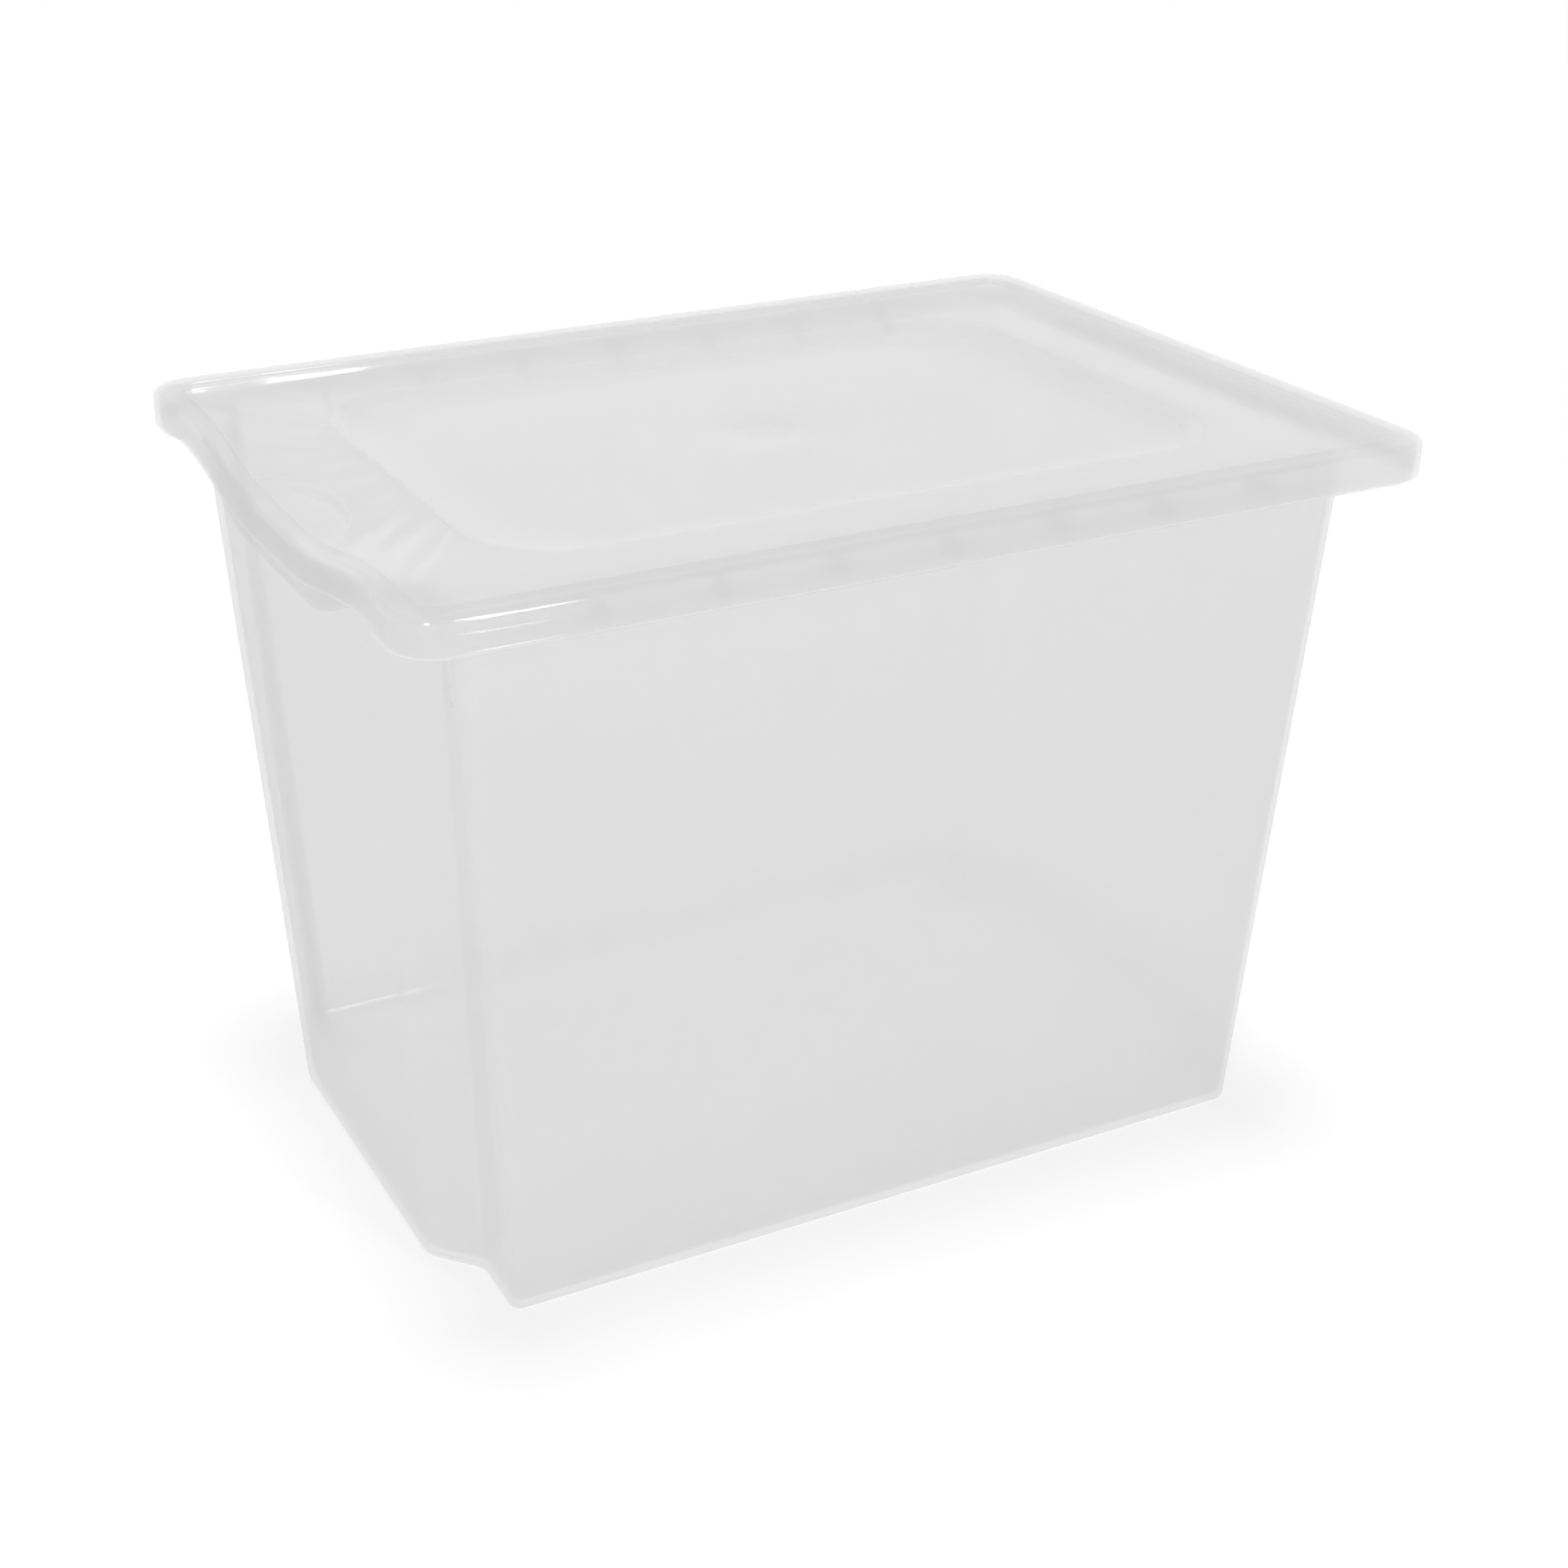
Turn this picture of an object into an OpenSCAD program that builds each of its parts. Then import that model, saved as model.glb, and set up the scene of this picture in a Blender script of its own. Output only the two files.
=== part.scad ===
// Clear stackable storage bin: a tapered tub with bulged end walls and a rim, and a lift-off lid.
// Origin at the centre of the base, +X along the length (the gripped end is at -X), +Z up.

/* [Overall] */
// Length over the lid's skirt
lid_length = 390; // [386:1:394]
// Depth over the lid's skirt, front to back
lid_depth = 280; // [278:1:284]
// Height from the floor to the lid's raised rim
total_height = 280; // [240:1:300]
// Radius of the lid's outer corners
lid_corner_r = 16.5; // [14:0.5:20]
// Sideways gap between the lid's skirt and the tub's rim
side_gap = 0.5; // [0.4:0.05:0.6]
// Height of the lid's flange above the tub's rim
seat_gap = 0.8; // [0.8:0.1:1]

/* [Tub] */
// Length of the base, over the corner columns
base_length = 313; // [310:1:315]
// Depth of the base
base_depth = 223; // [220:1:225]
// Wall thickness
tub_wall = 2; // [1.6:0.1:2.4]
// How much each end wall gains outwards per millimetre of height
end_draft = 0.0523; // [0.045:0.001:0.054]
// How much each long wall gains outwards per millimetre of height
side_draft = 0.031; // [0.02:0.001:0.035]
// How far each end panel stands out from its corner columns at the base
bulge = 15.5; // [12:0.5:16]
// How much the bulge gains per millimetre of height
bulge_draft = 0.006; // [0:0.001:0.006]
// Half-width of the flat part of an end panel at the base
panel_half = 64; // [58:1:68]
// Width of the S-shaped step from the panel to the corner column
step_width = 24; // [20:1:26]
// How much the panel's half-width gains per millimetre of height
panel_draft = 0.062; // [0.05:0.001:0.07]
// Radius of the tub's upright corners
column_r = 5; // [4:0.5:6]
// Radius between the base and the walls
base_r = 4; // [3:0.5:5]

/* [Rim] */
// Depth of the turned-down skirt, from the top of the lid to the tub's lower rim edge
skirt_depth = 15; // [13:0.5:18]
// How far the tub's rim reaches below the lid's skirt
rim_below_lid = 1.5; // [1:0.1:2]
// Spacing of the stiffening webs under the long sides of the rim
web_pitch = 42.2; // [40:0.1:44]
// Number of webs on each long side
web_count = 7; // [3:2:7]
// Thickness of a web
web_t = 1.5; // [1.2:0.1:2]
// How far the lugs on the corner columns reach below the rim's skirt
lug_drop = 27; // [15:1:35]

/* [Gripped end] */
// How far the lid's top and the tub's rim dip in the middle of the gripped end
dip = 10.3; // [6:0.1:11]
// How far the rim's lower edge dips there
lower_dip = 16; // [12:0.5:18]
// How far the skirt stands back between the corners of the gripped end
grip_inset = 2.5; // [1:0.1:3]

/* [Lid] */
// Wall thickness
lid_wall = 1.8; // [1.5:0.1:2]
// Width of the raised rim along the lid's edge
rim_width = 10.5; // [10:0.1:12]
// Drop from the raised rim to the flange
flange_drop = 2.9; // [2.5:0.1:3.5]
// Half-length of the sunken panel on the gripped side
panel_left = 146; // [140:1:148]
// Half-length of the sunken panel on the other side
panel_right = 144; // [140:1:148]
// Half-depth of the sunken panel
panel_side = 96.5; // [90:0.5:98]
// Corner radius of the sunken panel
panel_r = 38; // [34:1:42]
// Depth of the sunken panel below the flange
panel_depth = 5; // [4:0.5:6]
// Run of the panel's sloping sides
panel_slope = 6; // [4:0.5:7]
// How far the thumb notch reaches in from the raised rim
notch_reach = 17; // [12:0.5:19]
// Half-width of the thumb notch at the raised rim
notch_half = 43; // [38:1:46]

/* [Hidden] */
clear_plastic = [0.86, 0.86, 0.87, 0.45];

// Half-sizes of the two skirts
lid_a = lid_length / 2;
lid_b = lid_depth / 2;
rim_inset = lid_wall + side_gap;
// Heights of the main levels
flange_z = total_height - flange_drop;
rim_z = flange_z - lid_wall - seat_gap;
rim_low_z = total_height - skirt_depth;
lid_low_z = rim_low_z + rim_below_lid;
// Rounding of the skirts' upper edges
edge_r = 3;
// Setback of the thumb notch from the raised rim, and the run of its sloping wall
notch_setback = 0.3;
notch_run = 1.2;
// Share of a rounding's radius that its middle point stands in by, at 45 degrees
mid_arc = 0.3;

// Where the dip of the gripped end is full, and where it has died out, from the middle
dip_full = 20;
dip_none = 100;
lower_full = 35;
lower_none = 92;
inset_full = 103;
inset_none = 112;
// Radius of the notch's arc, and the X of its centre
notch_r = (notch_half * notch_half + notch_reach * notch_reach) / (2 * notch_reach);
step_x = lid_a - rim_width;
notch_x = -step_x + notch_reach - notch_r;

// Numbers of intervals along a quarter of the outline: panel, S-step, corner
panel_n = 8;
step_n = 6;
corner_n = 6;

// Smooth rise from 0 to 1
function ease(t) = (1 - cos(180 * max(0, min(1, t)))) / 2;

// 1 in the middle of the end, 0 outside
function fade(y, full, none) = 1 - ease((abs(y) - full) / (none - full));

// One quarter of a level's outline, from the middle of the end to the long side.
// a, b: half-length and half-depth; r: corner radius; out: bulge of the end panel;
// y1, y2: where the S-step starts and ends.
function quarter(a, b, r, out, y1, y2) = concat(
    [for (i = [0:panel_n]) [a + out, y1 * i / panel_n]],
    [for (i = [1:step_n]) [a + out * (1 - ease(i / step_n)), y1 + (y2 - y1) * i / step_n]],
    [for (i = [0:corner_n])
        let (t = 90 * i / corner_n)
        [a - r * (1 - cos(t)), b - r * (1 - sin(t))]]
);

// The whole outline from its quarter, counter-clockwise seen from above
function outline(q) = let (n = len(q)) concat(
    q,
    [for (i = [n - 1:-1:0]) [-q[i][0], q[i][1]]],
    [for (i = [1:n - 1]) [-q[i][0], -q[i][1]]],
    [for (i = [n - 1:-1:1]) [q[i][0], -q[i][1]]]
);

// A level of a loft: its points at height z, dipped at the gripped end by depth between full and none
function level(q, z, depth = 0, full = dip_full, none = dip_none) =
    [for (p = outline(q)) [p[0], p[1], z - (p[0] < 0 ? depth * fade(p[1], full, none) : 0)]];

// The same level with the end standing back between the corners of the gripped end
function stand_back(points, depth) =
    [for (p = points)
        let (held = p[0] < 0 && abs(p[1]) < inset_none)
        [p[0] + (held ? depth * fade(p[1], inset_full, inset_none) : 0), p[1], p[2]]];

// Closed solid through a list of levels, with a flat cap on the first and on the last
module loft(levels) {
    n = len(levels[0]);
    last = (len(levels) - 1) * n;
    caps = len(levels) * n;
    polyhedron(
        points = concat(
            [for (l = levels) for (p = l) p],
            [[0, 0, levels[0][0][2]], [0, 0, levels[len(levels) - 1][0][2]]]
        ),
        faces = concat(
            [for (i = [0:n - 1]) [i, (i + 1) % n, caps]],
            [for (i = [0:n - 1]) [last + (i + 1) % n, last + i, caps + 1]],
            [for (k = [0:len(levels) - 2], i = [0:n - 1])
                let (j = (i + 1) % n) [k * n + j, k * n + i, (k + 1) * n + i]],
            [for (k = [0:len(levels) - 2], i = [0:n - 1])
                let (j = (i + 1) % n) [k * n + j, (k + 1) * n + i, (k + 1) * n + j]]
        ),
        convexity = 10
    );
}

// Quarter outline of the tub's wall at height z, offset inwards by "in"
function wall_quarter(z, in = 0) =
    quarter(
        base_length / 2 + end_draft * z - in,
        base_depth / 2 + side_draft * z - in,
        column_r - min(in, column_r - 2),
        bulge + bulge_draft * z,
        panel_half + panel_draft * z - in,
        panel_half + step_width + panel_draft * z - in
    );

// Quarter outline of the rim, offset inwards by "in" from the lid's skirt
function rim_quarter(in) =
    quarter(lid_a - in, lid_b - in, lid_corner_r - in, 0, dip_none, inset_full);

// Upright bar between two heights, centred on x and y
module bar(x, y, low, high, size) {
    translate([x - size[0] / 2, y - size[1] / 2, low])
        cube([size[0], size[1], high - low]);
}

// Under the long sides: one web between the wall and the skirt
module web() {
    high = rim_z - tub_wall / 2;
    low = rim_low_z + 2;
    wall_y = base_depth / 2 + side_draft * rim_z - tub_wall / 2;
    skirt_y = lid_b - rim_inset - tub_wall / 2;
    hull() {
        bar(0, wall_y, low - 8, high, [web_t, 1]);
        bar(0, skirt_y, low, high, [web_t, 1]);
    }
}

// On a corner column: the upright lug that keeps nested tubs apart
module lug() {
    lug_w = 5;
    foot = 2.6;
    head = 4.2;
    high = rim_z - tub_wall / 2;
    low = rim_low_z - lug_drop;
    face_x = base_length / 2 + end_draft * low - tub_wall / 2;
    side_y = base_depth / 2 + side_draft * low - column_r - lug_w;
    hull() {
        bar(face_x + foot / 2, side_y, low, low + 1, [foot, lug_w]);
        bar(face_x + head / 2, side_y, high - 1, high, [head, lug_w]);
    }
}

module tub() {
    out = rim_inset;
    skirt_in = out + tub_wall;
    under_z = rim_z - tub_wall;
    color(clear_plastic) {
        loft([
            level(wall_quarter(0, base_r), 0),
            level(wall_quarter(base_r * mid_arc, base_r * mid_arc), base_r * mid_arc),
            level(wall_quarter(base_r), base_r),
            level(wall_quarter(under_z), under_z, dip),
            stand_back(level(rim_quarter(skirt_in), under_z, dip), grip_inset),
            stand_back(level(rim_quarter(skirt_in), rim_low_z, lower_dip, lower_full, lower_none),
                grip_inset),
            stand_back(level(rim_quarter(out), rim_low_z, lower_dip, lower_full, lower_none),
                grip_inset),
            stand_back(level(rim_quarter(out), rim_z - edge_r, dip), grip_inset),
            stand_back(level(rim_quarter(out + edge_r * mid_arc), rim_z - edge_r * mid_arc, dip), grip_inset),
            stand_back(level(rim_quarter(out + edge_r), rim_z, dip), grip_inset),
            level(wall_quarter(rim_z, tub_wall), rim_z, dip),
            level(wall_quarter(tub_wall + base_r, tub_wall), tub_wall + base_r),
            level(wall_quarter(tub_wall + base_r * mid_arc, tub_wall + base_r * mid_arc),
                tub_wall + base_r * mid_arc),
            level(wall_quarter(tub_wall, tub_wall + base_r), tub_wall)
        ]);
        for (side = [-1, 1], k = [0:web_count - 1])
            translate([(k - (web_count - 1) / 2) * web_pitch, 0, 0])
                mirror([0, side < 0 ? 1 : 0, 0])
                    web();
        for (mx = [0, 1], my = [0, 1])
            mirror([mx, 0, 0])
                mirror([0, my, 0])
                    lug();
    }
}

// How much of the dip reaches x: all of it at the raised rim, none at the sunken panel
function dip_share(x) = max(0, min(1, (-x - panel_left) / (step_x - panel_left)));

// A level on the lid between the raised rim (t = 0) and the sunken panel (t = 1)
function flange_level(t, z, panel_in) =
    let (
        q = quarter(lid_a - rim_width, lid_b - rim_width, lid_corner_r - rim_width, 0,
            notch_half, dip_none),
        right = quarter(panel_right - panel_in, panel_side - panel_in, panel_r - panel_in, 0,
            notch_half * 0.6, panel_side - panel_r - 1),
        left = quarter(panel_left - panel_in, panel_side - panel_in, panel_r - panel_in, 0,
            notch_half * 0.6, panel_side - panel_r - 1),
        rim = outline(q),
        far = outline(right),
        near = outline(left)
    )
    [for (i = [0:len(rim) - 1])
        let (
            p = rim[i],
            s = p[0] < 0 ? near[i] : far[i],
            x = p[0] + (s[0] - p[0]) * t,
            y = p[1] + (s[1] - p[1]) * t
        )
        [x, y, z - (x < 0 ? dip * fade(y, dip_full, dip_none) * dip_share(x) : 0)]];

// X of the notch's arc beside y, never outside the raised rim
function notch_edge(y) =
    abs(y) < notch_half ? notch_x + sqrt(notch_r * notch_r - y * y) : -step_x;

// A level that follows the notch's arc at the gripped end, offset inwards by "in".
// The foot of the notch's wall lies at the dipped flange, its head on the sloping flange.
function notch_level(in, z, at_head) =
    let (q = quarter(lid_a - rim_width - in, lid_b - rim_width - in, lid_corner_r - rim_width - in,
        0, notch_half, dip_none))
    [for (p = outline(q))
        let (
            end = p[0] < 0 && abs(p[1]) < notch_half,
            x = end ? notch_edge(p[1]) + in : p[0],
            share = at_head ? dip_share(x) : 1
        )
        [x, p[1], z - (x < 0 ? dip * fade(p[1], dip_full, dip_none) * share : 0)]];

// The raised rim's levels, which dip at the gripped end
function lid_level(in, z) =
    let (q = quarter(lid_a - in, lid_b - in, lid_corner_r - in, 0, notch_half, dip_none))
    level(q, z, dip);

module lid() {
    top = total_height;
    t = lid_wall;
    // Sideways shift of the underside where the surface slopes
    lean = 0.7;
    color(clear_plastic)
        loft([
            // Underside, from the middle outwards
            flange_level(1, flange_z - panel_depth - t, panel_slope - lean),
            flange_level(1, flange_z - t, -lean),
            flange_level(0.5, flange_z - t, 0),
            notch_level(notch_setback + notch_run, flange_z - t, true),
            notch_level(notch_setback, flange_z - t, false),
            lid_level(rim_width, flange_z - t),
            lid_level(rim_width - t, top - t),
            stand_back(lid_level(t + 1, top - t), grip_inset),
            stand_back(lid_level(t, top - t - 1), grip_inset),
            stand_back(lid_level(t, lid_low_z), grip_inset),
            // Outside, back to the middle
            stand_back(lid_level(0, lid_low_z), grip_inset),
            stand_back(lid_level(0, top - edge_r), grip_inset),
            stand_back(lid_level(edge_r * mid_arc, top - edge_r * mid_arc), grip_inset),
            stand_back(lid_level(edge_r, top), grip_inset),
            lid_level(rim_width - 0.4, top),
            lid_level(rim_width, flange_z),
            notch_level(notch_setback, flange_z, false),
            notch_level(notch_setback + notch_run, flange_z, true),
            flange_level(0.5, flange_z, 0),
            flange_level(1, flange_z, 0),
            flange_level(1, flange_z - panel_depth, panel_slope)
        ]);
}

tub();
lid();
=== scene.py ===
"""Looks of the clear storage bin: smooth tub and lid around the CAD frame, camera, light and floor.

Lengths in the shape functions are millimetres; a mesh is scaled to metres when it is made.
An "inset" is how far an outline stands inside the outline it starts from.
"""

import math

import bmesh
import bpy
import numpy as np
from mathutils import Matrix, Vector


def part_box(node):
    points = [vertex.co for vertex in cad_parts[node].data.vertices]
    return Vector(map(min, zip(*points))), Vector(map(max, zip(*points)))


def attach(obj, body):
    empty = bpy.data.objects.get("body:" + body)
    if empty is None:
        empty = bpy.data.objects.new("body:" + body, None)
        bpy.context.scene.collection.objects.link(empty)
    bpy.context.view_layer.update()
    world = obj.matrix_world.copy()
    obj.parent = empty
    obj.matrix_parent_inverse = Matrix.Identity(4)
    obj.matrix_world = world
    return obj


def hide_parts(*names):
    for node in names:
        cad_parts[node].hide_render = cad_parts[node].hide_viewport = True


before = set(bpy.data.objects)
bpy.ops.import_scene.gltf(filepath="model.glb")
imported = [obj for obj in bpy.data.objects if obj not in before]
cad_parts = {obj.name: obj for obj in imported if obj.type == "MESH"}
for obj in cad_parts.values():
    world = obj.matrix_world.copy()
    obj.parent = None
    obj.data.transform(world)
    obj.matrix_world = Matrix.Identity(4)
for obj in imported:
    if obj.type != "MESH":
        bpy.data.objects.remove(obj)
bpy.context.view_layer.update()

MM = 0.001
lid_low, lid_high = (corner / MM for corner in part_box("lid"))

# Driving sizes, the same as the CAD part's
LID_LENGTH = round(lid_high.x - lid_low.x, 2)
LID_DEPTH = round(lid_high.y - lid_low.y, 2)
TOP_Z = round(lid_high.z, 2)
LID_CORNER_R = 16.5
LID_WALL = 1.8
SIDE_GAP = 0.5
SEAT_GAP = 0.8
BASE_LENGTH = 313.0
BASE_DEPTH = 223.0
TUB_WALL = 2.0
END_DRAFT = 0.0523
SIDE_DRAFT = 0.031
BULGE = 15.5
BULGE_DRAFT = 0.006
PANEL_HALF = 64.0
STEP_WIDTH = 24.0
PANEL_DRAFT = 0.062
COLUMN_R = 5.0
COLUMN_INNER_R = 2.0
BASE_R = 4.0
SKIRT_DEPTH = 15.0
RIM_BELOW_LID = 1.5
WEB_PITCH = 42.2
WEB_COUNT = 7
WEB_T = 1.5
WEB_RISE = 2.0          # web's lower edge at the skirt, above the rim's lower edge
WEB_SWEEP = 8.0         # how much lower that edge is at the wall
LUG_DROP = 27.0
LUG_WIDTH = 5.0
DIP = 10.3
LOWER_DIP = 16.0
GRIP_INSET = 2.5
RIM_WIDTH = 10.5
FLANGE_DROP = 2.9
PANEL_LEFT = 146.0
PANEL_RIGHT = 144.0
PANEL_SIDE = 96.5
PANEL_R = 38.0
PANEL_DEPTH = 5.0
PANEL_SLOPE = 6.0
NOTCH_REACH = 17.0
NOTCH_HALF = 43.0

# Where the gripped end's dips and setback are full, and where they have died out, from its middle
DIP_SPAN = (20.0, 100.0)
LOWER_SPAN = (35.0, 92.0)
INSET_SPAN = (103.0, 112.0)

# Details that the CAD part leaves out or simplifies
EDGE_R = 3.0            # skirts' upper edges
ROOT_R = 1.5            # under the tub's rim
BRIM_R = 1.0            # tub's inner top edge
STEP_R = 0.5            # raised rim's inner step, head and foot
STEP_LEAN = 0.1         # draft of the raised rim's inner step
NOTCH_SETBACK = 0.1     # thumb notch's wall, back from the raised rim's foot
NOTCH_RUN = 1.6         # run of the thumb notch's sloping wall
NOTCH_SOFT = 0.3        # rounded share of that wall, at head and foot
NOTCH_LEAN = 0.8        # underside's shift inwards there, per mm of thickness
SLOPE_LEAN = 0.4        # underside's shift outwards at the sunken panel's sides, per mm
UNDER_EDGE_GAIN = 0.6   # radius under the lid's upper edge, beyond EDGE_R less the wall
UNDER_STEP_LEAN = 0.6   # draft of the raised rim's inner step, seen from below
LUG_FOOT = 1.8          # lugs' depth at the foot, from the middle of the wall there
LUG_HEAD = 3.0          # their depth at the head, from the same plane
FLOOR_PANEL_END = 50.0  # half-length of the raised panel in the tub's floor
FLOOR_PANEL_SIDE = 88.0
FLOOR_PANEL_R = 14.0
FLOOR_STEP = 0.8
FLOOR_STEP_RUN = 1.6
FLUTE_COUNT = 8
FLUTE_PITCH = 29.0
FLUTE_DEPTH = 0.7
FLUTE_FULLNESS = 0.7    # below 1, a flute keeps its depth closer to its ends
GATE_R = 13.0           # round gate dimple in the middle of the lid
GATE_DEPTH = 0.8
GATE_SOFT = 0.4         # rounded share of the dimple's edge, at head and foot

# Plastic
TUB_TINT = (0.88, 0.877, 0.879)
# The lid's tint is lighter than the tub's. Part of it is the plastic's own colour, and part is
# painted light that makes the lid's top read as lit from above.
LID_TINT_AND_PAINTED_LIGHT = (0.953, 0.95, 0.952)
TUB_SEED = 3.0          # moves the noise, so that the two pieces' clouds differ
LID_SEED = 7.0
SEED_SHIFT = (1.0, 0.7, 1.3)
PLASTIC_IOR = 1.49
PLASTIC_ALPHA = 0.12
PLASTIC_ROUGHNESS = (0.10, 0.26)
HAZE = 0.25             # share of light spread through the plastic
CLOUD = 0.012           # how much darker the cloudy places are
CLOUD_BAND = (0.3, 0.7)
CLOUD_NOISE = {"Scale": 9.0, "Detail": 4.0, "Roughness": 0.55}
RIPPLE_NOISE = {"Scale": 26.0, "Detail": 2.0, "Roughness": 0.5}
GRAIN_NOISE = {"Scale": 900.0, "Detail": 2.0, "Roughness": 0.6}
RIPPLE_BUMP = {"Strength": 0.12, "Distance": 0.0012}
GRAIN_BUMP = {"Strength": 0.05, "Distance": 0.0001}
SHINE = 0.06            # share of light mirrored by the surface
SHINE_ROUGHNESS = 0.03

# Studio, in metres
FLOOR_HALF = 12.0
FLOOR_ALBEDO = 0.30
FLOOR_GLOW = 0.69       # stands in for a pale table lit from all round
FLOOR_ROUGHNESS = 0.9
HORIZON_BAND = (0.12, 0.45)     # sines of the elevations between which the surroundings fade
ZENITH = 0.20           # how bright the surroundings are overhead
OVERHEAD_POWER = 2.34
OVERHEAD_WIDTH = 0.3    # angle across the overhead light, in radians
OVERHEAD_TILT = -0.04   # its tilt, in radians
SOFTBOX_TARGET = (-0.15, -0.13, 0.27)
SOFTBOXES = {
    "right_box": {"place": (0.40, -1.58, 0.96), "size": (0.12, 0.8), "power": 5},
    "left_box": {"place": (-1.15, -1.32, 0.96), "size": (0.28, 0.7), "power": 6},
}

# Camera: angles in degrees, place and lens in millimetres, shift in widths of the sensor
CAMERA_AZIMUTH = 25.615
CAMERA_ELEVATION = 25.419
CAMERA_ROLL = -0.366
CAMERA_PLACE = (-412.2, -751.9, 539.6)
SENSOR_WIDTH = 36
FOCAL_LENGTH = 55.33
LENS_SHIFT = (0.0914, -0.0073)

# Derived heights and places
LID_A = LID_LENGTH / 2
LID_B = LID_DEPTH / 2
FLANGE_Z = TOP_Z - FLANGE_DROP
RIM_Z = FLANGE_Z - LID_WALL - SEAT_GAP
RIM_LOW_Z = TOP_Z - SKIRT_DEPTH
LID_LOW_Z = RIM_LOW_Z + RIM_BELOW_LID
UNDER_Z = RIM_Z - TUB_WALL
STEP_X = LID_A - RIM_WIDTH
NOTCH_R = (NOTCH_HALF ** 2 + NOTCH_REACH ** 2) / (2 * NOTCH_REACH)
NOTCH_X = -STEP_X + NOTCH_REACH - NOTCH_R

# Intervals along a quarter of an outline: flat panel, S-step, column, corner, long side
PANEL_N, STEP_N, COLUMN_N, CORNER_N, SIDE_N = 22, 14, 12, 12, 14

# Intervals round the roundings: most of them, the skirts' lips, their upper edges, the inner step
ARC_N, LIP_N, TUB_EDGE_N, LID_EDGE_N, STEP_ARC_N = 5, 8, 7, 8, 4

# Levels added between roundings
WALL_FILL = 10          # tub's walls
FLOOR_FILL = 8          # tub's floor
FACE_FILL = 5           # skirts' outer faces, tub rim's top
TOP_FILL = 4            # under the tub's rim, inside the lid's skirt, raised rim's top
INNER_FILL = 3          # inside the tub's skirt, foot of the raised rim
EDGE_FILL = 2           # under the raised rim

# Intervals along the slopes and the flat parts
FLOOR_STEP_N = 4        # edge of the panel in the tub's floor
WEB_N = 6               # a web's lower edge
NOTCH_N = 6             # thumb notch's wall
FLANGE_N = 16           # flange, from the raised rim to the sunken panel
SLOPE_N = 8             # sunken panel's sides
FLAT_N = 6              # sunken panel's floor
DISH_N = 8              # gate dimple, from its edge to its middle
DISH_EDGE_N = 3         # the sloping ones among those

WELD_GAP = 0.002        # points closer than this become one
SHARP_ANGLE = 32        # degrees


# ---------------------------------------------------------------- shape functions

def ease(t):
    """Smooth rise from 0 to 1."""
    return (1 - np.cos(np.pi * np.clip(t, 0, 1))) / 2


def ramp(t, soft=0.25):
    """Rise from 0 to 1 that is straight but for its soft ends."""
    t = np.clip(t, 0, 1)
    head = t * t / (2 * soft)
    middle = t - soft / 2
    tail = 1 - soft - (1 - t) ** 2 / (2 * soft)
    return np.where(t < soft, head, np.where(t < 1 - soft, middle, tail)) / (1 - soft)


def fade(y, span):
    """1 in the middle of the end, 0 outside."""
    full, none = span
    return 1 - ease((np.abs(y) - full) / (none - full))


def outline(a, b, r, out, y1, y2):
    """A level's closed outline, counter-clockwise, from one quarter mirrored.

    a, b: half-length and half-depth; r: corner radius; out: bulge of the end panel;
    y1, y2: where the S-step from the panel to the corner column starts and ends.
    """
    panel = [(a + out, y1 * i / PANEL_N) for i in range(PANEL_N)]
    step = [(a + out * (1 - ease(i / STEP_N)), y1 + (y2 - y1) * i / STEP_N) for i in range(STEP_N)]
    column = [(a, y2 + (b - r - y2) * i / COLUMN_N) for i in range(COLUMN_N)]
    turns = [math.pi / 2 * i / CORNER_N for i in range(CORNER_N)]
    corner = [(a - r * (1 - math.cos(t)), b - r * (1 - math.sin(t))) for t in turns]
    side = [((a - r) * (1 - i / SIDE_N), b) for i in range(SIDE_N + 1)]
    q = np.array(panel + step + column + corner + side)
    return np.concatenate([
        q,
        q[-2::-1] * (-1, 1),
        q[1:] * (-1, -1),
        q[-2:0:-1] * (1, -1),
    ])


def level(points, z):
    """Points of an outline at height z, which may differ from point to point."""
    return np.column_stack([points, np.broadcast_to(z, len(points))])


def dipped(points, z, depth=DIP, span=DIP_SPAN):
    """A level that dips in the middle of the gripped end."""
    x, y = points.T
    return level(points, z - np.where(x < 0, depth * fade(y, span), 0))


def stand_back(points3):
    """The same level with its end standing back between the corners of the gripped end."""
    x, y, z = points3.T
    held = (x < 0) & (np.abs(y) < INSET_SPAN[1])
    return np.column_stack([x + np.where(held, GRIP_INSET * fade(y, INSET_SPAN), 0), y, z])


def between(low, high, count):
    """Levels strictly between two levels."""
    return [low + (high - low) * i / (count + 1) for i in range(1, count + 1)]


def arc(inset, z, r, start, end, count=ARC_N):
    """(inset, height) pairs round a centre; angles in degrees, 0 towards a larger inset, 90 up."""
    angles = [math.radians(start + (end - start) * i / count) for i in range(count + 1)]
    return [(inset + r * math.cos(t), z + r * math.sin(t)) for t in angles]


# ---------------------------------------------------------------- tub

def wall_outline(z, inset=0.0):
    """The tub's wall at height z."""
    return outline(
        BASE_LENGTH / 2 + END_DRAFT * z - inset,
        BASE_DEPTH / 2 + SIDE_DRAFT * z - inset,
        COLUMN_R - min(inset, COLUMN_R - COLUMN_INNER_R),
        BULGE + BULGE_DRAFT * z,
        PANEL_HALF + PANEL_DRAFT * z - inset,
        PANEL_HALF + STEP_WIDTH + PANEL_DRAFT * z - inset,
    )


def rim_outline(inset=0.0):
    """The tub's rim, inset from the lid's skirt, with its points matched to the wall's top."""
    y1 = PANEL_HALF + PANEL_DRAFT * RIM_Z
    return outline(LID_A - inset, LID_B - inset, LID_CORNER_R - inset, 0, y1, y1 + STEP_WIDTH)


def rim_level(inset, z):
    """A level of the tub's rim."""
    return stand_back(dipped(rim_outline(inset), z))


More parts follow.
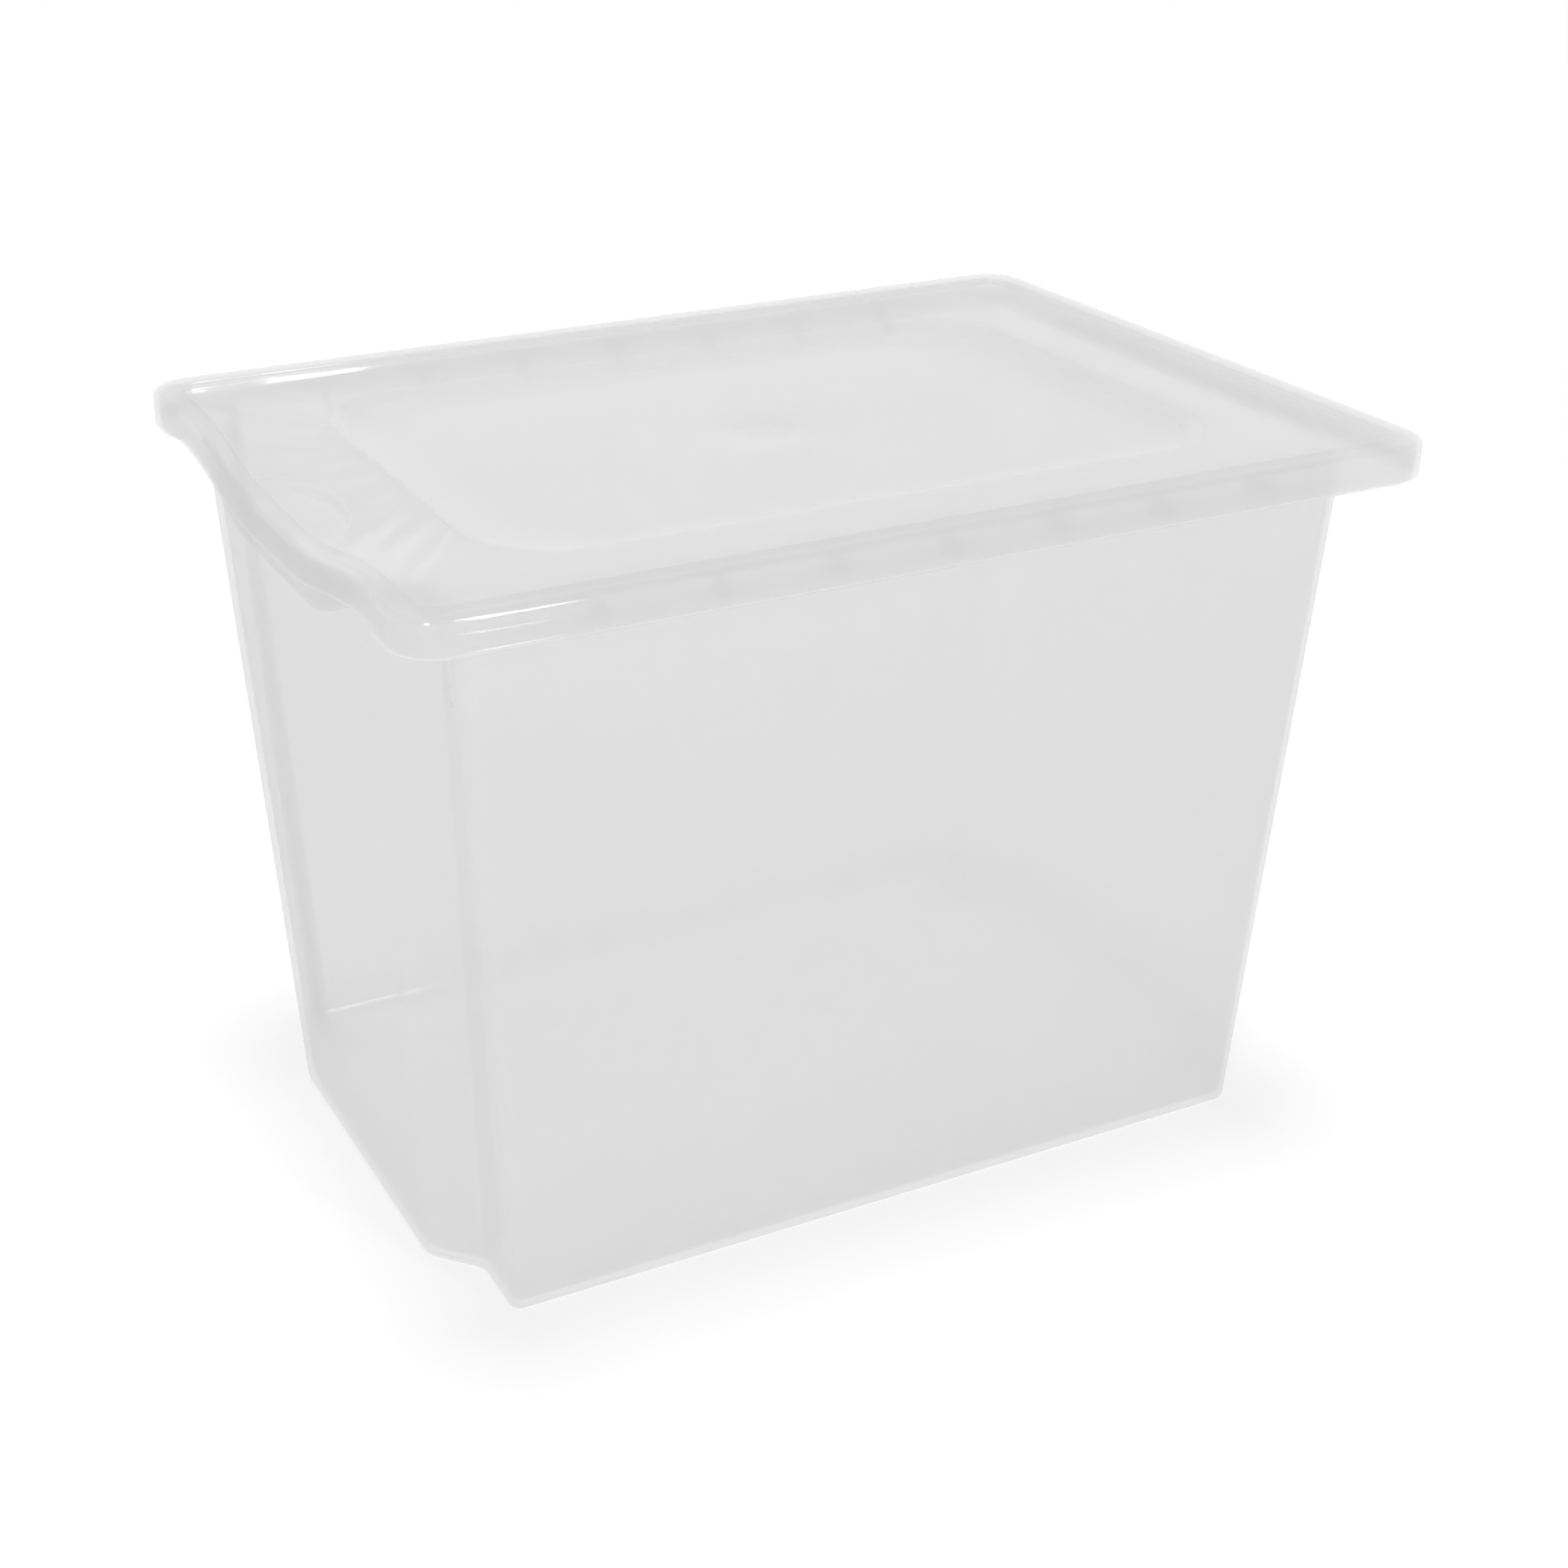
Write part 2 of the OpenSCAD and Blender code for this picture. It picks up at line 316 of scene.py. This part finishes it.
def lip_level(inset, z):
    """A level of the tub's lower rim edge, which dips further than the rim."""
    return stand_back(dipped(rim_outline(inset), z, LOWER_DIP, LOWER_SPAN))


def floor_panel(inset):
    """The slightly raised panel in the middle of the tub's floor.

    It has no bulge, so the spacing only places points along its straight ends.
    """
    side, r = FLOOR_PANEL_SIDE - inset, FLOOR_PANEL_R - inset
    spacing = side - 3 * r, side - 2 * r
    return outline(FLOOR_PANEL_END - inset, side, r, 0, *spacing)


def tub_levels():
    """The tub from the middle of its underside, over the rim, to the middle of its floor."""
    out = LID_WALL + SIDE_GAP
    skirt_in = out + TUB_WALL
    lip_r = TUB_WALL / 2
    floor_r = TUB_WALL + BASE_R

    foot = [level(wall_outline(z, i), z) for i, z in arc(BASE_R, BASE_R, BASE_R, 270, 180)]
    root = [dipped(wall_outline(z, i), z) for i, z in arc(-ROOT_R, UNDER_Z - ROOT_R, ROOT_R, 0, 90)]
    under = [rim_level(i, z) for i, z in arc(skirt_in + ROOT_R, UNDER_Z - ROOT_R, ROOT_R, 90, 180)]
    lip = [lip_level(i, z)
           for i, z in arc(out + lip_r, RIM_LOW_Z + lip_r, lip_r, 0, -180, LIP_N)]
    edge = [rim_level(i, z)
            for i, z in arc(out + EDGE_R, RIM_Z - EDGE_R, EDGE_R, 180, 90, TUB_EDGE_N)]
    brim = [dipped(wall_outline(z, i), z)
            for i, z in arc(TUB_WALL - BRIM_R, RIM_Z - BRIM_R, BRIM_R, 90, 0)]
    floor = [level(wall_outline(z, i), z) for i, z in arc(floor_r, floor_r, BASE_R, 180, 270)]
    shares = [i / FLOOR_STEP_N for i in range(FLOOR_STEP_N + 1)]
    panel = [level(floor_panel(FLOOR_STEP_RUN * s), TUB_WALL + FLOOR_STEP * ramp(s))
             for s in shares]
    return (
        foot + between(foot[-1], root[0], WALL_FILL) + root
        + between(root[-1], under[0], TOP_FILL) + under
        + between(under[-1], lip[0], INNER_FILL) + lip
        + between(lip[-1], edge[0], FACE_FILL) + edge
        + between(edge[-1], brim[0], FACE_FILL) + brim
        + between(brim[-1], floor[0], WALL_FILL) + floor
        + between(floor[-1], panel[0], FLOOR_FILL) + panel
    )


def web_profile():
    """A web under the rim, in the (y, z) plane: its lower edge curves up from wall to skirt."""
    wall_y = BASE_DEPTH / 2 + SIDE_DRAFT * UNDER_Z - TUB_WALL / 2
    skirt_y = LID_B - LID_WALL - SIDE_GAP - TUB_WALL / 2
    high = UNDER_Z + TUB_WALL / 2
    low = RIM_LOW_Z + WEB_RISE
    turns = [math.pi / 2 * i / WEB_N for i in range(WEB_N + 1)]
    edge = [(wall_y + (skirt_y - wall_y) * (1 - math.cos(t)), low - WEB_SWEEP * (1 - math.sin(t)))
            for t in turns]
    return [(wall_y, high)] + edge + [(skirt_y, high)]


def lug_corners():
    """The upright lug on a corner column: foot and head, each as block() takes them."""
    low = RIM_LOW_Z - LUG_DROP
    high = UNDER_Z + TUB_WALL / 2
    face_x = BASE_LENGTH / 2 + END_DRAFT * low - TUB_WALL / 2
    side_y = BASE_DEPTH / 2 + SIDE_DRAFT * low - COLUMN_R - LUG_WIDTH
    near, far = side_y - LUG_WIDTH / 2, side_y + LUG_WIDTH / 2
    return (
        (face_x, face_x + LUG_FOOT, near, far, low),
        (face_x, face_x + LUG_HEAD, near, far, high),
    )


# ---------------------------------------------------------------- lid

def lid_outline(inset=0.0):
    """The lid's skirt and raised rim, with points gathered at the thumb notch."""
    return outline(
        LID_A - inset, LID_B - inset, LID_CORNER_R - inset, 0, NOTCH_HALF, DIP_SPAN[1])


def lid_level(inset, z):
    """A level of the lid's skirt or raised rim."""
    return dipped(lid_outline(inset), z)


def panel_outline(inset=0.0):
    """The sunken panel, a little shorter on the side away from the gripped end.

    The spacing only places points along the straight ends, so that they face the notch's points.
    """
    spacing = NOTCH_HALF * 0.6, PANEL_SIDE - PANEL_R - 1
    side, r = PANEL_SIDE - inset, PANEL_R - inset
    near = outline(PANEL_LEFT - inset, side, r, 0, *spacing)
    far = outline(PANEL_RIGHT - inset, side, r, 0, *spacing)
    return np.where(near[:, :1] < 0, near, far)


def notch_outline(inset):
    """The raised rim's inner step, which follows the thumb notch's arc at the gripped end."""
    points = lid_outline(RIM_WIDTH + inset)
    x, y = points.T
    bent = (x < 0) & (np.abs(y) < NOTCH_HALF)
    reach = NOTCH_X + np.sqrt(np.maximum(NOTCH_R ** 2 - y ** 2, 0)) + inset
    return np.column_stack([np.where(bent, reach, x), y])


def dip_share(x):
    """How much of the dip reaches x: all of it at the raised rim, none at the sunken panel."""
    return np.clip((-x - PANEL_LEFT) / (STEP_X - PANEL_LEFT), 0, 1)


def flange_drop(points, share):
    """How far the flange lies below its level at the long sides."""
    x, y = points.T
    return np.where(x < 0, DIP * fade(y, DIP_SPAN) * share, 0)


def flutes(across, t):
    """Radial flutes in the gripped end's flange; t is 0 at the raised rim and 1 at the panel."""
    x, y = across.T
    inside = (x < 0) & (np.abs(y) < FLUTE_COUNT * FLUTE_PITCH / 2)
    wave = (1 - np.cos(2 * np.pi * y / FLUTE_PITCH)) / 2
    return np.where(inside, FLUTE_DEPTH * wave * math.sin(math.pi * t) ** FLUTE_FULLNESS, 0)


def flange_levels(thickness):
    """The lid's flange from the raised rim's foot, through the notch's wall, to the panel's edge."""
    foot_inset = STEP_R + NOTCH_SETBACK + NOTCH_LEAN * thickness
    z = FLANGE_Z - thickness
    levels = []
    for i in range(NOTCH_N + 1):
        points = notch_outline(foot_inset + NOTCH_RUN * i / NOTCH_N)
        rise = ramp(i / NOTCH_N, NOTCH_SOFT)
        share = 1 - rise + rise * dip_share(points[:, 0])
        levels.append(level(points, z - flange_drop(points, share)))
    head, edge = notch_outline(foot_inset + NOTCH_RUN), panel_outline()
    for i in range(1, FLANGE_N + 1):
        t = i / FLANGE_N
        points = head + (edge - head) * t
        drop = flange_drop(points, dip_share(points[:, 0]))
        levels.append(level(points, z - drop - flutes(lid_outline(RIM_WIDTH), t)))
    return levels


def panel_levels(thickness):
    """The panel's sloping sides, its floor, and the round gate dimple in the middle."""
    lean = SLOPE_LEAN * thickness
    z = FLANGE_Z - thickness
    floor_z = z - PANEL_DEPTH
    slope = [level(panel_outline(PANEL_SLOPE * s - lean), z - PANEL_DEPTH * ramp(s))
             for s in (i / SLOPE_N for i in range(SLOPE_N + 1))]
    floor = panel_outline(PANEL_SLOPE - lean)
    angle = np.arctan2(floor[:, 1], floor[:, 0])
    circle = np.column_stack([np.cos(angle), np.sin(angle)])
    flat = [level(floor + (circle * GATE_R - floor) * i / FLAT_N, floor_z)
            for i in range(1, FLAT_N + 1)]
    dish = [level(circle * GATE_R * (1 - i / DISH_N),
                  floor_z - GATE_DEPTH * ramp(i / DISH_EDGE_N, GATE_SOFT))
            for i in range(1, DISH_N)]
    return slope + flat + dish


def lid_levels():
    """The lid from the middle of its underside, round the skirt, to the middle of its top."""
    t = LID_WALL
    lip_r = t / 2
    step_in = RIM_WIDTH - STEP_LEAN
    under_r = EDGE_R - t + UNDER_EDGE_GAIN

    head_under = arc(RIM_WIDTH - t - STEP_R, TOP_Z - t - STEP_R, STEP_R, 0, 90, STEP_ARC_N)
    edge_under = arc(t + under_r, TOP_Z - t - under_r, under_r, 90, 180)
    lip = arc(lip_r, LID_LOW_Z + lip_r, lip_r, 0, -180, LIP_N)
    edge = arc(EDGE_R, TOP_Z - EDGE_R, EDGE_R, 180, 90, LID_EDGE_N)
    head = arc(step_in - STEP_R, TOP_Z - STEP_R, STEP_R, 90, 0, STEP_ARC_N)
    foot = arc(RIM_WIDTH + STEP_R, FLANGE_Z + STEP_R, STEP_R, 180, 270, STEP_ARC_N)

    underside = (panel_levels(t)[::-1] + flange_levels(t)[::-1]
                 + [lid_level(RIM_WIDTH - t + UNDER_STEP_LEAN, FLANGE_Z - t)]
                 + [lid_level(i, z) for i, z in head_under])
    skirt_under = [stand_back(lid_level(i, z)) for i, z in edge_under]
    skirt_lip = [stand_back(lid_level(i, z)) for i, z in lip]
    skirt_edge = [stand_back(lid_level(i, z)) for i, z in edge]
    rim = [lid_level(i, z) for i, z in head + foot]
    return (
        underside + between(underside[-1], skirt_under[0], EDGE_FILL) + skirt_under
        + between(skirt_under[-1], skirt_lip[0], TOP_FILL) + skirt_lip
        + between(skirt_lip[-1], skirt_edge[0], FACE_FILL) + skirt_edge
        + between(skirt_edge[-1], rim[0], TOP_FILL) + rim
        + between(rim[-1], flange_levels(0)[0], INNER_FILL)
        + flange_levels(0) + panel_levels(0)
    )


# ---------------------------------------------------------------- meshes

def shell(levels):
    """Vertices and faces of a closed solid through levels, capped from a centre at each end."""
    n = len(levels[0])
    rows = len(levels)
    vertices = [tuple(p) for points in levels for p in points]
    faces = []
    for k in range(rows - 1):
        for i in range(n):
            j = (i + 1) % n
            faces.append((k * n + i, k * n + j, (k + 1) * n + j, (k + 1) * n + i))
    for row, step in ((0, -1), (rows - 1, 1)):
        middle = len(vertices)
        vertices.append(tuple(levels[row].mean(axis=0)))
        ring = range(n)[::step]
        faces += [(row * n + i, row * n + (i + step) % n, middle) for i in ring]
    return vertices, faces


def prism(profile, x_low, x_high, mirror):
    """A closed prism along X from a profile in the (y, z) plane, mirrored in Y or not."""
    sign = -1 if mirror else 1
    n = len(profile)
    vertices = [(x, sign * y, z) for x in (x_low, x_high) for y, z in profile]
    faces = [tuple(range(n)), tuple(range(2 * n - 1, n - 1, -1))]
    faces += [(i, n + i, n + (i + 1) % n, (i + 1) % n) for i in range(n)]
    return vertices, faces


def block(foot, head, mirror_x, mirror_y):
    """A closed block between two rectangles, each (x low, x high, y low, y high, z)."""
    sx, sy = (-1 if mirror_x else 1), (-1 if mirror_y else 1)
    vertices = []
    for x0, x1, y0, y1, z in (foot, head):
        vertices += [(sx * x, sy * y, z) for x, y in ((x0, y0), (x1, y0), (x1, y1), (x0, y1))]
    faces = [(0, 3, 2, 1), (4, 5, 6, 7)]
    faces += [(i, (i + 1) % 4, 4 + (i + 1) % 4, 4 + i) for i in range(4)]
    return vertices, faces


def make_object(name, parts):
    """One object in metres from several (vertices, faces) parts, with faces turned outwards."""
    bm = bmesh.new()
    for vertices, faces in parts:
        made = [bm.verts.new(Vector(v) * MM) for v in vertices]
        for face in faces:
            bm.faces.new([made[i] for i in face])
    bmesh.ops.remove_doubles(bm, verts=bm.verts, dist=WELD_GAP * MM)
    bmesh.ops.recalc_face_normals(bm, faces=bm.faces)
    mesh = bpy.data.meshes.new(name)
    bm.to_mesh(mesh)
    bm.free()
    thing = bpy.data.objects.new(name, mesh)
    bpy.context.scene.collection.objects.link(thing)
    return thing


def unite(thing, other):
    """Adds another object's volume to a piece, and removes the other object."""
    modifier = thing.modifiers.new("unite", "BOOLEAN")
    modifier.operation = "UNION"
    modifier.solver = "EXACT"
    modifier.object = other
    bpy.context.view_layer.update()
    evaluated = thing.evaluated_get(bpy.context.evaluated_depsgraph_get())
    mesh = bpy.data.meshes.new_from_object(evaluated)
    thing.modifiers.clear()
    thing.data = mesh
    bpy.data.objects.remove(other)


def smooth(thing):
    """Smooth shading, but for edges sharper than SHARP_ANGLE."""
    thing.data.polygons.foreach_set("use_smooth", [True] * len(thing.data.polygons))
    thing.data.set_sharp_from_angle(angle=math.radians(SHARP_ANGLE))


def make_tub():
    """The tub's shell with its webs and lugs."""
    body = make_object("clear_tub", [shell(tub_levels())])
    ribs = []
    profile = web_profile()
    for k in range(WEB_COUNT):
        x = (k - (WEB_COUNT - 1) / 2) * WEB_PITCH
        ribs += [prism(profile, x - WEB_T / 2, x + WEB_T / 2, mirror) for mirror in (False, True)]
    foot, head = lug_corners()
    ribs += [block(foot, head, mx, my) for mx in (False, True) for my in (False, True)]
    unite(body, make_object("ribs", ribs))
    smooth(body)
    return body


def make_lid():
    """The lid's shell."""
    cover = make_object("clear_lid", [shell(lid_levels())])
    smooth(cover)
    return cover


# ---------------------------------------------------------------- materials

def add_node(tree, kind, **values):
    """A node with some of its inputs or properties set."""
    node = tree.nodes.new(kind)
    for key, value in values.items():
        if key in node.inputs:
            node.inputs[key].default_value = value
        else:
            setattr(node, key, value)
    return node


def clear_plastic(name, tint, seed):
    """Slightly cloudy, glossy moulded polypropylene: faint flow clouds, soft ripple, fine grain."""
    material = bpy.data.materials.new(name)
    material.use_nodes = True
    tree = material.node_tree
    shader = tree.nodes["Principled BSDF"]
    shader.inputs["IOR"].default_value = PLASTIC_IOR
    shader.inputs["Alpha"].default_value = PLASTIC_ALPHA

    place = add_node(tree, "ShaderNodeTexCoord")
    shifted = add_node(tree, "ShaderNodeMapping")
    shifted.inputs["Location"].default_value = [seed * share for share in SEED_SHIFT]
    tree.links.new(place.outputs["Object"], shifted.inputs["Vector"])

    clouds = add_node(tree, "ShaderNodeTexNoise", **CLOUD_NOISE)
    ripple = add_node(tree, "ShaderNodeTexNoise", **RIPPLE_NOISE)
    grain = add_node(tree, "ShaderNodeTexNoise", **GRAIN_NOISE)
    for noise in (clouds, ripple, grain):
        tree.links.new(shifted.outputs["Vector"], noise.inputs["Vector"])

    colour = tree.nodes.new("ShaderNodeValToRGB")
    cloudy, clear = colour.color_ramp.elements
    cloudy.position, clear.position = CLOUD_BAND
    cloudy.color = (*(c - CLOUD for c in tint), 1)
    clear.color = (*tint, 1)
    tree.links.new(clouds.outputs["Fac"], colour.inputs["Fac"])
    tree.links.new(colour.outputs["Color"], shader.inputs["Base Color"])

    gloss = tree.nodes.new("ShaderNodeMapRange")
    gloss.inputs["To Min"].default_value, gloss.inputs["To Max"].default_value = PLASTIC_ROUGHNESS
    tree.links.new(grain.outputs["Fac"], gloss.inputs["Value"])
    tree.links.new(gloss.outputs["Result"], shader.inputs["Roughness"])

    wave = add_node(tree, "ShaderNodeBump", **RIPPLE_BUMP)
    fine = add_node(tree, "ShaderNodeBump", **GRAIN_BUMP)
    tree.links.new(ripple.outputs["Fac"], wave.inputs["Height"])
    tree.links.new(grain.outputs["Fac"], fine.inputs["Height"])
    tree.links.new(wave.outputs["Normal"], fine.inputs["Normal"])
    tree.links.new(fine.outputs["Normal"], shader.inputs["Normal"])

    haze = tree.nodes.new("ShaderNodeBsdfTranslucent")
    tree.links.new(colour.outputs["Color"], haze.inputs["Color"])
    tree.links.new(fine.outputs["Normal"], haze.inputs["Normal"])
    shine = add_node(tree, "ShaderNodeBsdfAnisotropic", Roughness=SHINE_ROUGHNESS)
    tree.links.new(fine.outputs["Normal"], shine.inputs["Normal"])

    hazy = add_node(tree, "ShaderNodeMixShader", Fac=HAZE)
    tree.links.new(shader.outputs["BSDF"], hazy.inputs[1])
    tree.links.new(haze.outputs["BSDF"], hazy.inputs[2])
    glossy = add_node(tree, "ShaderNodeMixShader", Fac=SHINE)
    tree.links.new(hazy.outputs["Shader"], glossy.inputs[1])
    tree.links.new(shine.outputs["BSDF"], glossy.inputs[2])
    tree.links.new(glossy.outputs["Shader"], tree.nodes["Material Output"].inputs["Surface"])
    return material


def matt_floor():
    """The pale table the bin stands on."""
    material = bpy.data.materials.new("studio_floor")
    material.use_nodes = True
    shader = material.node_tree.nodes["Principled BSDF"]
    shader.inputs["Base Color"].default_value = (*(FLOOR_ALBEDO,) * 3, 1)
    shader.inputs["Emission Color"].default_value = (1, 1, 1, 1)
    shader.inputs["Emission Strength"].default_value = FLOOR_GLOW
    shader.inputs["Roughness"].default_value = FLOOR_ROUGHNESS
    shader.inputs["Specular IOR Level"].default_value = 0.0
    return material


# ---------------------------------------------------------------- studio

def add_camera():
    """The photograph's view: from the front, a little left of it and above."""
    azimuth = math.radians(CAMERA_AZIMUTH)
    elevation = math.radians(CAMERA_ELEVATION)
    roll = math.radians(CAMERA_ROLL)
    data = bpy.data.cameras.new("camera")
    data.sensor_width = SENSOR_WIDTH
    data.lens = FOCAL_LENGTH
    data.shift_x, data.shift_y = LENS_SHIFT
    camera = bpy.data.objects.new("camera", data)
    forward = Vector((
        math.sin(azimuth) * math.cos(elevation),
        math.cos(azimuth) * math.cos(elevation),
        -math.sin(elevation),
    ))
    right = forward.cross(Vector((0, 0, 1))).normalized()
    up = right.cross(forward)
    tilted_right = right * math.cos(roll) + up * math.sin(roll)
    tilted_up = up * math.cos(roll) - right * math.sin(roll)
    turn = Matrix((tilted_right, tilted_up, -forward)).transposed()
    camera.matrix_world = Matrix.Translation(Vector(CAMERA_PLACE) * MM) @ turn.to_4x4()
    bpy.context.scene.collection.objects.link(camera)
    bpy.context.scene.camera = camera


def add_softbox(name, place, size, power):
    """A rectangular soft light at place, facing the lid's nearest corner."""
    data = bpy.data.lights.new(name, "AREA")
    data.shape = "RECTANGLE"
    data.size, data.size_y = size
    data.energy = power
    lamp = bpy.data.objects.new(name, data)
    lamp.location = place
    aim = Vector(SOFTBOX_TARGET) - Vector(place)
    lamp.rotation_euler = aim.to_track_quat("-Z", "Y").to_euler()
    bpy.context.scene.collection.objects.link(lamp)


def add_overhead():
    """A wide, even light from almost straight above, a little behind."""
    data = bpy.data.lights.new("overhead", "SUN")
    data.energy = OVERHEAD_POWER
    data.angle = OVERHEAD_WIDTH
    lamp = bpy.data.objects.new("overhead", data)
    lamp.rotation_euler = (OVERHEAD_TILT, 0, 0)
    lamp.visible_glossy = False
    bpy.context.scene.collection.objects.link(lamp)


def add_world():
    """Surroundings that are white at the horizon and dimmer overhead."""
    world = bpy.data.worlds.new("studio")
    bpy.context.scene.world = world
    world.use_nodes = True
    tree = world.node_tree
    background = tree.nodes["Background"]
    background.inputs["Color"].default_value = (1, 1, 1, 1)
    direction = tree.nodes.new("ShaderNodeTexCoord")
    parts = tree.nodes.new("ShaderNodeSeparateXYZ")
    fall = tree.nodes.new("ShaderNodeMapRange")
    fall.interpolation_type = "SMOOTHSTEP"
    fall.inputs["From Min"].default_value, fall.inputs["From Max"].default_value = HORIZON_BAND
    fall.inputs["To Min"].default_value = 1.0
    fall.inputs["To Max"].default_value = ZENITH
    tree.links.new(direction.outputs["Generated"], parts.inputs["Vector"])
    tree.links.new(parts.outputs["Z"], fall.inputs["Value"])
    tree.links.new(fall.outputs["Result"], background.inputs["Strength"])


def add_floor():
    """A wide square floor, which belongs to the studio and not to the object."""
    half = FLOOR_HALF
    mesh = bpy.data.meshes.new("floor")
    corners = [(-half, -half, 0), (half, -half, 0), (half, half, 0), (-half, half, 0)]
    mesh.from_pydata(corners, [], [(0, 1, 2, 3)])
    floor = bpy.data.objects.new("floor", mesh)
    bpy.context.scene.collection.objects.link(floor)
    mesh.materials.append(matt_floor())


add_camera()
add_world()
add_floor()
add_overhead()
for box_name, box in SOFTBOXES.items():
    add_softbox(box_name, **box)
bpy.context.scene.view_settings.view_transform = "Standard"

tub = make_tub()
tub.data.materials.append(clear_plastic("tub_plastic", TUB_TINT, TUB_SEED))
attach(tub, "tub")
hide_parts("tub")

lid = make_lid()
# The lid's plastic is tinted lighter than the tub's: painted light on the lid's top, over the
# plastic's own colour.
lid.data.materials.append(clear_plastic("lid_plastic", LID_TINT_AND_PAINTED_LIGHT, LID_SEED))
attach(lid, "lid")
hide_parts("lid")
